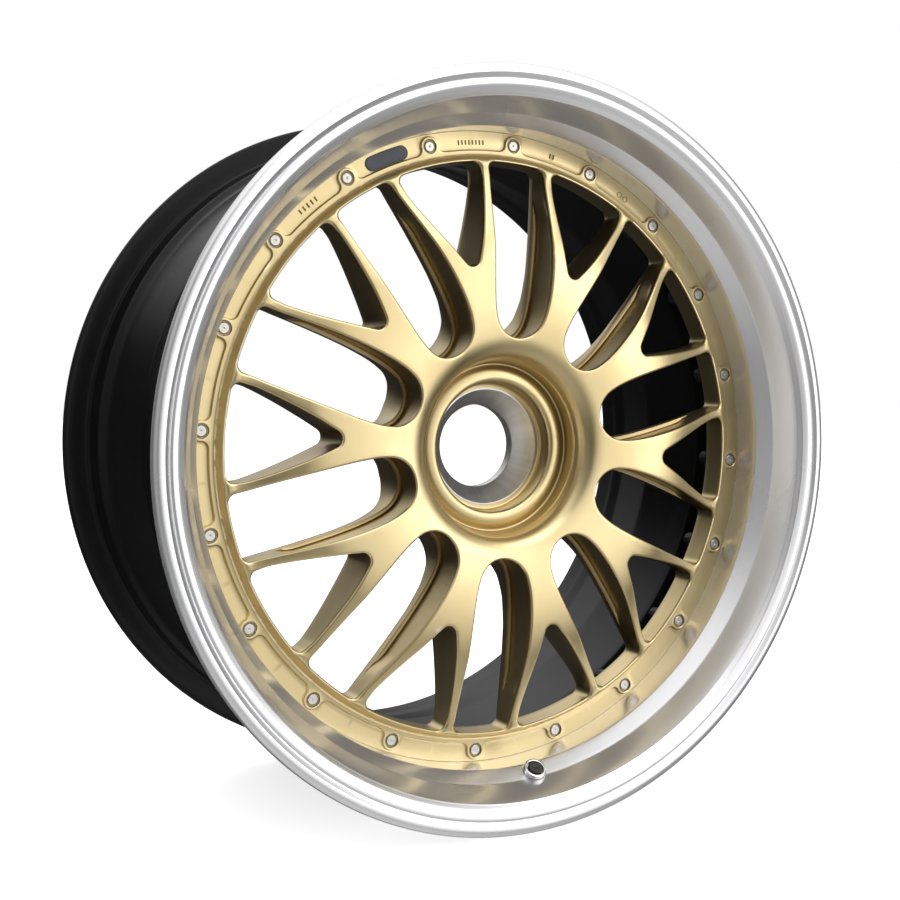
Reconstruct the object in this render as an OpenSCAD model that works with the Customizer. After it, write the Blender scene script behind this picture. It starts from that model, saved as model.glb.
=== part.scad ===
// Forged three-piece racing wheel: a milled Y-spoke centre bolted between two rim halves,
// with a centre-lock hub. The wheel's axis is Y, the outboard side faces -Y and Z is up.
// The origin is on the axis, midway between the front and rear rim edges.

/* [Rim] */
// Outer radius of both rim flanges
rim_r = 235.8; // [235:0.1:237]
// Radius of the tyre bead seats
bead_seat_r = 218.3; // [218:0.1:218.6]
// Overall width over both flanges
rim_w = 234; // [232:1:238]
// Thickness of a rim flange
flange_t = 9; // [8.5:0.1:9.5]
// Inner radius of the polished cylinder in front of the centre
dish_r = 202.5; // [202:0.1:203]
// Inner radius of the black barrel at its waist
barrel_in_r = 197.5; // [196.5:0.1:198]
// Wall of the barrel and of the polished cylinder
wall_t = 5.5; // [5:0.1:6]

/* [Centre] */
// Distance from the rim's mid-plane out to the bolt ring's face
ring_face_z = 67.4; // [66.5:0.1:68]
// Thickness of the bolt ring
ring_t = 10.4; // [10:0.1:11]
// Thickness of each rim half's bolting flange
joint_t = 5; // [4.5:0.1:5.5]
// Inner radius of the bolting flanges
joint_in_r = 187; // [186.5:0.1:188]
// Number of Y spokes
spokes = 10; // [10:1:10]
// Angle of the first spoke's axis, anticlockwise from +X seen from the front
spoke_a0 = -4.13; // [-18:0.01:18]
// Radius of the outer ends of the windows
window_r = 182; // [181:0.1:183]
// Half width of the long windows between two spokes
long_half_w = 20.3; // [19:0.1:21]
// Radius of the inner ends of the long windows
long_in_r = 69.8; // [69:0.1:72]
// Radius of the apex of the short windows within a spoke
short_in_r = 116.8; // [115:0.1:120]
// Distance from the rim's mid-plane out to the hub mounting face
offset_z = 31; // [29:0.5:32]
// Radius of the hub's mounting pad
pad_r = 69; // [68:0.5:70]

/* [Hub] */
// Radius of the rear spigot bore
spigot_r = 35; // [34:0.1:35.5]
// Radius of the hole in the steel seat
seat_bore_r = 27; // [26:0.1:28]
// Outer radius of the cone for the wheel nut
cone_r = 37.3; // [36.5:0.1:37.5]
// Radius of the drive bushes' pitch circle
drive_pitch_r = 54; // [53:0.1:55]
// Number of drive bushes
drive_n = 6; // [4:1:6]
// Radius of the hole in a drive bush
drive_hole_r = 7; // [6:0.1:8]

/* [Bolts] */
// Number of assembly bolts
bolt_n = 20; // [20:1:20]
// Radius of the bolt circle
bolt_pitch_r = 194.8; // [194.5:0.1:195]
// Radius of a bolt's shank
bolt_r = 3.5; // [3.2:0.1:3.6]

/* [Valve] */
// Angle of the valve, anticlockwise from +X seen from the front
valve_a = -85.7; // [-87:0.1:-83]
// Tilt of the valve's axis from the wheel's axis
valve_tilt = 54.2; // [52:0.1:56]

/* [Hidden] */
$fn = 96;
eps = 0.05;
pitch_a = 360 / spokes;

front_z = rim_w / 2;
seat_in_z = front_z - flange_t;
ring_back_z = ring_face_z - ring_t;
joint_z = ring_back_z - joint_t;
joint_back_z = joint_z - joint_t;
barrel_r = barrel_in_r + wall_t;
joint_r = dish_r + wall_t;
ring_r = dish_r - 0.05;

// The polished rim steps down from the flange, over a short cone, to the dish cylinder.
lip_in_r = 216.5;
cone_out_r = 209;
cone_out_z = 94.3;
cone_in_z = 85;
bead_r = 4.3;
hump_r = bead_seat_r - 0.5;

// Bolting stack behind the ring
washer_t = 1.5;
head_t = 7;
head_r = 6;
washer_r = 6.4;
washer_z = joint_back_z - washer_t;
shank_clear = 0.3;
insert_r = 4.5;
insert_recess = 1;
tip_recess = 0.4;

// Bosses and pockets on the ring's face
boss_r = 6;
boss_foot_w = 17;
pocket_depth = 2;
pocket_in_r = 190;
plate_t = 1;
plate_half_a = 3.1;
plate_half_h = 4.6;
plate_a = spoke_a0 + 3.25 * pitch_a;

// Steel seat for the wheel nut
recess_r = 41.6;
seat_body_r = cone_r + 0.8;
seat_front_z = 56;
seat_back_z = offset_z + 5;
cone_back_z = 43;
floor_z = seat_front_z - 0.3;
bush_r = 10;
bush_len = 16;
bush_flange_t = 1.5;
bush_flange_r = 11.5;

// Valve, measured along its own axis from the rim's inner surface
valve_pos_r = 206.5;
valve_pos_z = 90.83;
spot_front = -0.8;
spot_back = -9.6;
spot_r = 7.9;
spot_back_r = 8.2;
valve_hole_r = 4.2;
grommet_t = 2.4;
base_t = 3;
stem_r = 4;
tip_r = 3.85;
tip_z = 2.8;
thread_z = 2.2;
valve_washer_t = 1;
nut_h = 3.6;
nut_r = 7.2;
nut_floor = 1.4;
core_r = 2.6;
core_low_z = -7.2;
core_high_z = 1.3;
pin_r = 0.7;
pin_low_z = -10.3;
pin_head = 0.8;
collar_r = 1.7;
ledge_z = -3.9;
collar_z = -0.7;
wire_r = 0.22;
spring_turns = 5;

// A run of points on an arc about [cx, cy]
function arc(cx, cy, r, a0, a1, n) =
    [for (i = [0 : n]) [cx + r * cos(a0 + (a1 - a0) * i / n), cy + r * sin(a0 + (a1 - a0) * i / n)]];

// A run of points on a cubic curve with its two ends left out
function curve(p, q, r, s, n) =
    [for (i = [1 : n - 1]) let (t = i / n, u = 1 - t)
        u * u * u * p + 3 * u * u * t * q + 3 * u * t * t * r + t * t * t * s];

// An outline mirrored about the X axis, from its upper half
function both_halves(half) =
    concat(half, [for (i = [len(half) - 1 : -1 : 0]) [half[i][0], -half[i][1]]]);

// Upper half of a window that ends at the ring with round corners
function ring_end(corner_a, side_a, corner_r) =
    let (c = (window_r - corner_r) * [cos(corner_a), sin(corner_a)])
    concat(arc(c[0], c[1], corner_r, side_a, corner_a, 4),
        arc(0, 0, window_r, corner_a * 0.5, 0, 1));

// Long window between two spokes, on the +X axis; grow widens it for the side pockets
function long_window(grow = 0) =
    let (w = long_half_w + grow,
        nose_r = long_half_w * 0.86 + grow,
        nose_x = long_in_r + long_half_w * 0.86,
        nose = arc(nose_x, 0, nose_r, 180, 104, 7),
        end_r = window_r - 10)
    both_halves(concat(nose,
        curve(nose[7], [nose_x + 8, w + 1.2], [nose_x + 42, w + 1.8], [end_r, w], 7),
        ring_end(asin((long_half_w - 5) / (window_r - 5)), 90, 5)));

// Short window inside a spoke, on the +X axis
function short_window() =
    let (nose = arc(short_in_r + 5.3, 0, 5.3, 180, 118, 5))
    both_halves(concat(nose,
        curve(nose[5], [131, 11.2], [156, 23.6], [171, 28.4], 6),
        ring_end(7.75, 108, 5)));

// Wheel parts are drawn with the axis on Z and turned so that the front faces -Y.
module upright() {
    rotate([90, 0, 0]) children();
}

module around(n, a0 = 0) {
    for (i = [0 : n - 1]) rotate([0, 0, a0 + 360 / n * i]) children();
}

// The valve's own frame: its axis on Z, zero at the rim's inner surface, cap at the top
module at_valve() {
    upright() rotate([0, 0, valve_a]) translate([valve_pos_r, 0, valve_pos_z])
        rotate([0, -valve_tilt, 0]) children();
}

module tube(r_out, r_in, z0, z1) {
    translate([0, 0, z0]) difference() {
        cylinder(r = r_out, h = z1 - z0);
        translate([0, 0, -eps]) cylinder(r = r_in, h = z1 - z0 + 2 * eps);
    }
}

// Section through the centre disc, from the hub recess out to the ring and back
module centre_section() {
    polygon(concat(
        [[seat_body_r, floor_z], [recess_r - 1.4, floor_z], [recess_r - 0.4, floor_z + 0.4],
            [recess_r, floor_z + 1.4], [recess_r, 65.4], [42.2, 67.4], [43.6, 68.4], [46.4, 68.7],
            [49.4, 68.2], [51.6, 67], [53.6, 66.1], [54.6, 67.2], [55.1, 70.5], [55.5, 74.4],
            [56.2, 75.2], [56.6, 78.6]],
        curve([56.6, 78.6], [58, 84.6], [62, 88.2], [70, 89.6], 6),
        curve([70, 89.6], [96, 93.4], [122, 94], [140, 87.6], 12),
        curve([140, 87.6], [158, 81.4], [170, 76.4], [178, 75], 6),
        [[181.5, 74.7], [183.4, 74], [184.8, 72.2], [185.8, 69.4], [187.4, ring_face_z],
            [ring_r, ring_face_z], [ring_r, ring_back_z], [186, ring_back_z], [184, 56],
            [118, 56], [100, 54], [86, 49.5], [76, 42], [pad_r, 35], [pad_r, offset_z],
            [spigot_r, offset_z], [spigot_r, seat_back_z], [seat_body_r, seat_back_z]]));
}

// Recessed pockets between the bolt bosses
module pocket_outline() {
    difference() {
        circle(r = ring_r + 1);
        circle(r = pocket_in_r);
        around(bolt_n, spoke_a0) {
            translate([bolt_pitch_r, 0]) circle(r = boss_r);
            polygon(both_halves([[pocket_in_r - 1, boss_foot_w / 2], [pocket_in_r + 1.4, boss_foot_w / 2 - 1.6],
                [pocket_in_r + 3, boss_r]]));
        }
    }
}

module wheel_centre() {
    color("darkkhaki") upright() difference() {
        rotate_extrude($fn = 180) centre_section();
        translate([0, 0, 20]) linear_extrude(90) {
            around(spokes, spoke_a0 + pitch_a / 2) polygon(long_window());
            around(spokes, spoke_a0) polygon(short_window());
        }
        translate([0, 0, 62]) linear_extrude(15) intersection() {
            circle(r = 158);
            around(spokes, spoke_a0 + pitch_a / 2) polygon(long_window(2.4));
        }
        translate([0, 0, ring_face_z - pocket_depth]) linear_extrude(pocket_depth + 1) pocket_outline();
        around(bolt_n, spoke_a0) translate([bolt_pitch_r, 0, ring_back_z - 1])
            cylinder(r = insert_r, h = ring_t + 2);
        around(drive_n) translate([drive_pitch_r, 0, offset_z - eps]) {
            cylinder(r = bush_r, h = bush_len + eps);
            cylinder(r = bush_flange_r, h = bush_flange_t + eps);
        }
    }
}

// Section of a rim flange and its bead seat at the front edge, up to the seat's hump
function flange_section() = concat(
    [[hump_r - 0.9, seat_in_z - 17], [bead_seat_r, seat_in_z - 1.8], [bead_seat_r + 1.5, seat_in_z],
        [rim_r - 1.4, seat_in_z], [rim_r, seat_in_z + 1.4]],
    arc(rim_r - bead_r, front_z - bead_r, bead_r, 0, 90, 6));

module outer_rim_half() {
    color("gainsboro") difference() {
        upright() difference() {
            rotate_extrude($fn = 240) polygon(concat(
                [[joint_in_r, joint_z], [joint_r, joint_z], [joint_r, 62], [joint_r + 0.3, 75],
                    [hump_r, 88.5]],
                flange_section(),
                [[229, front_z], [228.4, front_z - 1.5], [227.5, front_z - 1.5], [226.9, front_z - 0.3],
                    [222, front_z - 1.2], [218.6, front_z - 3], [lip_in_r, front_z - 5.6],
                    [cone_out_r, cone_out_z], [dish_r, cone_in_z], [dish_r, ring_back_z],
                    [joint_in_r, ring_back_z]]));
            around(bolt_n, spoke_a0) translate([bolt_pitch_r, 0, joint_z - 1])
                cylinder(r = bolt_r + shank_clear, h = joint_t + 2);
            tube(203.7, 201.5, joint_z - 1, joint_z + 1.6);
        }
        at_valve() {
            translate([0, 0, spot_back - 5]) cylinder(r = valve_hole_r, h = 30);
            translate([0, 0, spot_front]) cylinder(r = spot_r, h = 12);
            translate([0, 0, spot_back - 12]) cylinder(r = spot_back_r, h = 12);
        }
    }
}

module inner_rim_half() {
    color([0.09, 0.09, 0.1]) upright() difference() {
        rotate_extrude($fn = 240) polygon(concat(
            [[joint_in_r, joint_back_z], [joint_in_r, joint_z], [joint_r, joint_z], [joint_r, 36],
                [barrel_r, 23], [barrel_r, -33], [bead_seat_r - 6, -78], [bead_seat_r - 4.4, -82],
                [hump_r, -86.5]],
            [for (p = flange_section()) [p[0], -p[1]]],
            [[212.5, -front_z], [210.5, 2 - front_z], [bead_seat_r - 10.3, -95],
                [bead_seat_r - 11.5, -79], [barrel_in_r, -33], [barrel_in_r, 25],
                [dish_r, 36], [dish_r, joint_back_z]]));
        around(bolt_n, spoke_a0) translate([bolt_pitch_r, 0, joint_back_z - 1])
            cylinder(r = bolt_r + shank_clear, h = joint_t + 2);
    }
}

// Bolt entered from behind: twelve-sided head on a round collar, with a pointed-off tip
module assembly_bolts() {
    color("lightgray") upright() around(bolt_n, spoke_a0) translate([bolt_pitch_r, 0, washer_z]) {
        translate([0, 0, -1.6]) cylinder(r = head_r, h = 1.6);
        translate([0, 0, -head_t]) cylinder(r = head_r - 0.8, h = head_t - 1.5, $fn = 12);
        cylinder(r = bolt_r, h = ring_face_z - tip_recess - 0.6 - washer_z);
        translate([0, 0, ring_face_z - tip_recess - 0.6 - washer_z])
            cylinder(r1 = bolt_r, r2 = bolt_r - 0.6, h = 0.6);
    }
}

module bolt_washers() {
    color("silver") upright() around(bolt_n, spoke_a0) translate([bolt_pitch_r, 0, 0])
        tube(washer_r, bolt_r + 0.1, washer_z, joint_back_z);
}

module thread_inserts() {
    color("dimgray") upright() around(bolt_n, spoke_a0) translate([bolt_pitch_r, 0, 0])
        tube(insert_r, bolt_r, ring_back_z, ring_face_z - insert_recess);
}

module rim_o_ring() {
    color("black") upright() rotate_extrude($fn = 180)
        translate([202.6, joint_z + 0.8]) circle(r = 0.8, $fn = 24);
}

// Bead of sealant over the joint, on the tyre's side
module sealant_bead() {
    color("gray") upright() rotate_extrude($fn = 180) polygon(concat(
        [[joint_r, joint_z - 4]], arc(joint_r - 2.6, joint_z, 4.8, -52, 52, 8), [[joint_r, joint_z + 4]]));
}

module nut_seat() {
    color("lightsteelblue") upright() rotate_extrude() polygon([
        [seat_bore_r, seat_back_z], [seat_body_r, seat_back_z], [seat_body_r, seat_front_z],
        [cone_r + 0.3, seat_front_z], [cone_r, seat_front_z - 0.4], [seat_bore_r, cone_back_z]]);
}

module drive_bushes() {
    color("lightslategray") upright() around(drive_n) translate([drive_pitch_r, 0, offset_z]) difference() {
        union() {
            cylinder(r = bush_r, h = bush_len);
            cylinder(r = bush_flange_r, h = bush_flange_t);
        }
        translate([0, 0, -eps]) cylinder(r = drive_hole_r, h = bush_len + 2 * eps);
    }
}

// Curved plate with round ends, bonded in a pocket
module label_plate() {
    plate_r = bolt_pitch_r + 0.6;
    c = plate_r * [cos(plate_half_a), sin(plate_half_a)];
    color("dimgray") upright() rotate([0, 0, plate_a])
        translate([0, 0, ring_face_z - pocket_depth]) linear_extrude(plate_t) polygon(concat(
            arc(0, 0, plate_r + plate_half_h, -plate_half_a, plate_half_a, 6),
            arc(c[0], c[1], plate_half_h, 22, 158, 5),
            arc(0, 0, plate_r - plate_half_h, plate_half_a, -plate_half_a, 6),
            arc(c[0], -c[1], plate_half_h, 202, 338, 5)));
}

// Clamp-in valve: a flanged base on the tyre's side and a threaded stem into the dish
module valve_stem() {
    base_z = spot_back - grommet_t;
    color("silver") at_valve() difference() {
        union() {
            translate([0, 0, base_z - base_t]) cylinder(r = 6.8, h = base_t);
            translate([0, 0, base_z - 1]) cylinder(r = stem_r, h = thread_z + 1 - base_z);
            cylinder(r = tip_r, h = tip_z - 0.5);
            translate([0, 0, tip_z - 0.5]) cylinder(r1 = tip_r, r2 = tip_r - 0.5, h = 0.5);
        }
        translate([0, 0, core_low_z]) cylinder(r = core_r, h = 20);
        translate([0, 0, base_z - base_t - 1]) cylinder(r = 2.3, h = core_low_z + 2 - base_z + base_t);
    }
}

module valve_grommet() {
    color("black") at_valve() tube(7, stem_r, spot_back - grommet_t, spot_back);
}

module valve_washer() {
    color("silver") at_valve() tube(7.3, stem_r + 0.15, spot_front, spot_front + valve_washer_t);
}

// Round lock nut with a deep collar that the cap sits in
module valve_nut() {
    z0 = spot_front + valve_washer_t;
    color("gainsboro") at_valve() difference() {
        union() {
            translate([0, 0, z0]) cylinder(r = nut_r, h = nut_h - 0.6);
            translate([0, 0, z0 + nut_h - 0.6]) cylinder(r1 = nut_r, r2 = nut_r - 0.5, h = 0.6);
        }
        translate([0, 0, z0 + nut_floor]) cylinder(r = 5.3, h = nut_h);
        translate([0, 0, z0 - eps]) cylinder(r = stem_r, h = nut_h + 2 * eps);
    }
}

// Screwed barrel of the valve core, with a ledge for the spring
module valve_core_body() {
    color("goldenrod") at_valve() {
        tube(core_r, 1.9, ledge_z, core_high_z);
        tube(core_r, pin_r + 0.3, core_low_z + 0.8, ledge_z);
    }
}

module valve_core_gasket() {
    color("white") at_valve() tube(core_r, 2, core_low_z, core_low_z + 0.8);
}

// Sprung pin: pressing its head lets air past the washer on its lower end
module valve_core_pin() {
    color("khaki") at_valve() {
        translate([0, 0, pin_low_z]) cylinder(r = pin_r, h = 12.2);
        translate([0, 0, collar_z]) cylinder(r = collar_r, h = pin_head);
        translate([0, 0, pin_low_z]) cylinder(r = 1.3, h = pin_head);
    }
}

module valve_core_washer() {
    color("black") at_valve() tube(1.9, pin_r, pin_low_z + pin_head, core_low_z - 0.9);
}

// Ring of points about the wire's centre at a given turn angle
function wire_ring(a, z) =
    [for (k = [0 : 5]) let (w = 1.3 + wire_r * cos(60 * k)) [w * cos(a), w * sin(a), z + wire_r * sin(60 * k)]];

module valve_core_spring() {
    steps = 16 * spring_turns;
    z0 = ledge_z + wire_r + 0.03;
    rise = collar_z - ledge_z - 2 * wire_r - 0.06;
    rings = [for (i = [0 : steps]) each wire_ring(360 * spring_turns * i / steps, z0 + rise * i / steps)];
    sides = [for (i = [0 : steps - 1], k = [0 : 5])
        [6 * i + k, 6 * i + (k + 1) % 6, 6 * i + 6 + (k + 1) % 6, 6 * i + 6 + k]];
    color("silver") at_valve() polyhedron(rings, concat(sides,
        [[5, 4, 3, 2, 1, 0], [for (k = [0 : 5]) 6 * steps + k]]));
}

module valve_cap() {
    cap_z = spot_front + valve_washer_t + nut_floor + 0.2;
    seal_top_z = tip_z + 0.9;
    color([0.08, 0.08, 0.08]) at_valve() difference() {
        union() {
            translate([0, 0, cap_z]) cylinder(r = 4.8, h = seal_top_z + 0.4 - cap_z);
            translate([0, 0, seal_top_z + 0.4]) cylinder(r1 = 4.8, r2 = 4.3, h = 0.5);
        }
        translate([0, 0, cap_z - eps]) cylinder(r = tip_r + 0.08, h = seal_top_z - cap_z + eps);
        translate([0, 0, cap_z - eps]) cylinder(r = stem_r + 0.1, h = 0.6 + eps);
    }
}

module valve_cap_seal() {
    color("maroon") at_valve() translate([0, 0, tip_z + 0.1]) cylinder(r = tip_r, h = 0.8);
}

wheel_centre();
outer_rim_half();
inner_rim_half();
assembly_bolts();
bolt_washers();
thread_inserts();
rim_o_ring();
sealant_bead();
nut_seat();
drive_bushes();
label_plate();
valve_stem();
valve_grommet();
valve_washer();
valve_nut();
valve_core_body();
valve_core_gasket();
valve_core_pin();
valve_core_washer();
valve_core_spring();
valve_cap();
valve_cap_seal();
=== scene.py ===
"""Looks for a three-piece forged racing wheel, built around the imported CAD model.

The wheel's axis is Y and its outboard side faces -Y. Shapes are drawn in millimetres in the
wheel's own frame: x right, y up, z outboard along the axis. TO_SCENE turns that into the scene.
"""

import math

import bmesh
import bpy
from mathutils import Matrix, Vector
from mathutils.geometry import delaunay_2d_cdt


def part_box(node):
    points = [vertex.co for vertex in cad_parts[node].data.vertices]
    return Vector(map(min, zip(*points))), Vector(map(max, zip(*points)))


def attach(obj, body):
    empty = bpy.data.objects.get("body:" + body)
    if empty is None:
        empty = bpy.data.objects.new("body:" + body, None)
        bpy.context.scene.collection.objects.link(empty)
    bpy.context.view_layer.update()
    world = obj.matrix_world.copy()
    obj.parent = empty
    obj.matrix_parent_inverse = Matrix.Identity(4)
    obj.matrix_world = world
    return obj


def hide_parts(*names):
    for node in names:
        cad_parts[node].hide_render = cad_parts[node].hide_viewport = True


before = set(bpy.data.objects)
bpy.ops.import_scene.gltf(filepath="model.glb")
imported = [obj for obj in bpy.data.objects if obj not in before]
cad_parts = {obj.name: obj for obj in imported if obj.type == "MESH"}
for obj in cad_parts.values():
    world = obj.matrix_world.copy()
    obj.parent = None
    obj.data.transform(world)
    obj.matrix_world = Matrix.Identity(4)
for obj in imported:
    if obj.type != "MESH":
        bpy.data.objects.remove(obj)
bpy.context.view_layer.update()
MM = 1000.0


def front_of(node):
    """Distance of a node's front from the wheel's mid-plane, in mm."""
    return -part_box(node)[0].y * MM


def back_of(node):
    return -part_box(node)[1].y * MM


def radius_of(node):
    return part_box(node)[1].x * MM


# Main sizes in mm, from the CAD model's own boxes
RIM_R = radius_of("outer_rim_half")
FRONT_Z = front_of("outer_rim_half")
BACK_Z = back_of("inner_rim_half")
JOINT_BACK_Z = front_of("inner_rim_half") - 5
RING_R = radius_of("wheel_centre")
PAD_Z = back_of("wheel_centre")
BOLT_TIP_Z = front_of("assembly_bolts")
BOLT_BACK_Z = back_of("assembly_bolts")
WASHER_Z = back_of("bolt_washers")
INSERT_Z = front_of("thread_inserts")
FACE_Z = INSERT_Z + 1
SEAT_Z = front_of("nut_seat")
SEAT_BACK_Z = back_of("nut_seat")
SEAT_R = radius_of("nut_seat")
RING_BACK_Z = back_of("thread_inserts")

# Sizes the boxes don't give, in mm, with angles in radians
SPOKES = 10
BOLTS = 20
PITCH = 2 * math.pi / SPOKES
FIRST_A = math.radians(-4.13)
BOLT_PITCH_R = 194.8
BOSS_R = 6.0
POCKET_R = 190.0
POCKET_Z = FACE_Z - 2
INSERT_R = 4.5
WINDOW_R = 182.0
LONG_HALF_W = 20.3
LONG_IN_R = 69.8
SHORT_IN_R = 116.8
BUSH_PITCH_R = 54.0
BUSH_FLANGE_R = 11.5
SPIGOT_R = 35.0
HUB_R = 64.0
RIM_IN_R = 187.0
RIM_MEET_Z = 52.0
RIM_LAND_R = 208.0
BARREL_R = 202.5
VALVE_A = math.radians(-85.7)
VALVE_TILT = math.radians(54.2)
VALVE_AT = (206.5, 90.83)
VALVE_HOLE_R = 4.2
VALVE_FLAT_R, VALVE_FLAT_Z = 8.1, -0.8
VALVE_BACK_R, VALVE_BACK_Z = 8.2, -9.6

# How the meshes are divided: where the spokes' mesh meets the ring's, and steps round the axis
TILE_R = 188.0
SECTOR_STEPS = 48
RIM_STEPS = 480
PATCH_STEPS = 10

TO_SCENE = Matrix(((1, 0, 0, 0), (0, 0, -1, 0), (0, 1, 0, 0), (0, 0, 0, 1)))
TO_SCENE = Matrix.Scale(1 / MM, 4) @ TO_SCENE


def polar(r, a):
    return Vector((r * math.cos(a), r * math.sin(a)))


def lerp(a, b, t):
    return a + (b - a) * t


def ramp(x, x0, x1):
    """0 before x0, 1 after x1 and a smooth step between."""
    t = min(1.0, max(0.0, (x - x0) / (x1 - x0)))
    return t * t * (3 - 2 * t)


def arc(cx, cy, r, a0, a1, n):
    a0, a1 = math.radians(a0), math.radians(a1)
    return [Vector((cx, cy)) + polar(r, lerp(a0, a1, i / n)) for i in range(n + 1)]


def cubic(p, q, r, s, n):
    """Points on a cubic curve with its two ends left out."""
    p, q, r, s = (Vector(v) for v in (p, q, r, s))
    ts = [i / n for i in range(1, n)]
    return [(1 - t) ** 3 * p + 3 * t * (1 - t) ** 2 * q + 3 * t * t * (1 - t) * r + t**3 * s for t in ts]


def resample(points, step):
    """Points evenly spaced along a line, its two ends kept."""
    lengths = [0.0]
    for a, b in zip(points, points[1:]):
        lengths.append(lengths[-1] + (b - a).length)
    n = max(2, round(lengths[-1] / step))
    out, j = [], 0
    for i in range(n + 1):
        d = lengths[-1] * i / n
        while j < len(lengths) - 2 and lengths[j + 1] < d:
            j += 1
        span = lengths[j + 1] - lengths[j] or 1
        out.append(points[j].lerp(points[j + 1], min(1, (d - lengths[j]) / span)))
    return out


def rounded(profile, passes=2, keep=0.5):
    """A (radius, z) line with its corners cut; corners marked with a third value stay sharp."""
    for _ in range(passes):
        out = [profile[0]]
        for a, b, c in zip(profile, profile[1:], profile[2:]):
            if len(b) > 2:
                out.append(b)
                continue
            cut = keep / 2
            out.append((lerp(b[0], a[0], cut), lerp(b[1], a[1], cut)))
            out.append((lerp(b[0], c[0], cut), lerp(b[1], c[1], cut)))
        profile = out + [profile[-1]]
    return [p[:2] for p in profile]


def table_value(table, x):
    """Straight-line reading of a list of (x, value) pairs."""
    if x <= table[0][0]:
        return table[0][1]
    for (x0, y0), (x1, y1) in zip(table, table[1:]):
        if x <= x1:
            return lerp(y0, y1, (x - x0) / (x1 - x0))
    return table[-1][1]


# ---------------------------------------------------------------- meshes

class Shell:
    """Collects vertices and faces in the wheel's frame and makes one Blender object of them."""

    def __init__(self):
        self.verts, self.faces = [], []

    def add(self, verts, faces, turn=0.0):
        base = len(self.verts)
        c, s = math.cos(turn), math.sin(turn)
        self.verts += [(x * c - y * s, x * s + y * c, z) for x, y, z in verts]
        self.faces += [tuple(base + i for i in f) for f in faces]

    def strip(self, rows, closed=False):
        """Quads between rows of equally many points."""
        base, n = len(self.verts), len(rows[0])
        for row in rows:
            self.verts += [tuple(p) for p in row]
        for j in range(len(rows) - 1):
            for i in range(n if closed else n - 1):
                k = (i + 1) % n
                a = base + j * n
                self.faces.append((a + i, a + k, a + n + k, a + n + i))

    def lathe(self, profile, n=96, place=None, caps=False):
        """A (radius, z) line turned about Z."""
        turns = [2 * math.pi * i / n for i in range(n)]
        rows = [[(r * math.cos(a), r * math.sin(a), z) for a in turns] for r, z in profile]
        start = len(self.verts)
        self.strip(rows, closed=True)
        if caps:
            last = start + (len(rows) - 1) * n
            self.faces.append(tuple(range(start, start + n)))
            self.faces.append(tuple(range(last, last + n)))
        if place is not None:
            for i in range(start, len(self.verts)):
                self.verts[i] = tuple(place @ Vector(self.verts[i]))

    def sweep(self, section, a0, a1, steps, caps=False):
        """A closed (radius, z) section turned part of the way about Z."""
        start, n = len(self.verts), len(section)
        turns = [lerp(a0, a1, i / steps) for i in range(steps + 1)]
        self.strip([[(r * math.cos(a), r * math.sin(a), z) for r, z in section] for a in turns])
        if caps:
            self.faces.append(tuple(range(start, start + n - 1)))
            self.faces.append(tuple(range(start + steps * n, start + steps * n + n - 1)))

    def build(self, name, material, sharp=32):
        """The object, with equal points joined and creases over sharp degrees kept."""
        mesh = bpy.data.meshes.new(name)
        mesh.from_pydata([TO_SCENE @ Vector(v) for v in self.verts], [], self.faces)
        bm = bmesh.new()
        bm.from_mesh(mesh)
        bmesh.ops.remove_doubles(bm, verts=bm.verts, dist=2e-6)
        bmesh.ops.recalc_face_normals(bm, faces=bm.faces)
        bm.to_mesh(mesh)
        bm.free()
        mesh.shade_smooth()
        mesh.set_sharp_from_angle(angle=math.radians(sharp))
        obj = bpy.data.objects.new(name, mesh)
        bpy.context.scene.collection.objects.link(obj)
        mesh.materials.append(material)
        return obj


def show(obj, body, slot, *nodes):
    """The piece rides on a CAD body and stands for CAD nodes, which are hidden; slot is not used."""
    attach(obj, body)
    if nodes:
        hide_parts(*nodes)
    return obj


def inside(poly, p):
    hit = False
    for a, b in zip(poly, poly[1:] + poly[:1]):
        if (a.y > p.y) != (b.y > p.y) and p.x < (b.x - a.x) * (p.y - a.y) / (b.y - a.y) + a.x:
            hit = not hit
    return hit


def fill(outer, holes, grid, margin):
    """Triangles filling an outline with holes, with grid points kept at least margin from an edge."""
    loops = [outer] + holes
    edge_points = [p for loop in loops for p in loop]
    cells = {}
    for p in edge_points:
        cells.setdefault((int(p.x // 4), int(p.y // 4)), []).append(p)

    def clear(p):
        cx, cy = int(p.x // 4), int(p.y // 4)
        near = (q for i in (-1, 0, 1) for j in (-1, 0, 1) for q in cells.get((cx + i, cy + j), ()))
        return all((q - p).length > margin for q in near)

    points, edges = [], []
    for loop in loops:
        base, n = len(points), len(loop)
        points += loop
        edges += [(base + i, base + (i + 1) % n) for i in range(n)]
    points += [p for p in grid if inside(outer, p) and not any(inside(h, p) for h in holes) and clear(p)]
    verts, _, tris, _, _, _ = delaunay_2d_cdt(points, edges, [], 1, 1e-4)
    kept = []
    for t in tris:
        mid = sum((verts[i] for i in t), Vector((0, 0))) / len(t)
        if inside(outer, mid) and not any(inside(h, mid) for h in holes):
            kept.append(tuple(t))
    return verts, kept


# ---------------------------------------------------------------- the centre's shape

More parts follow.
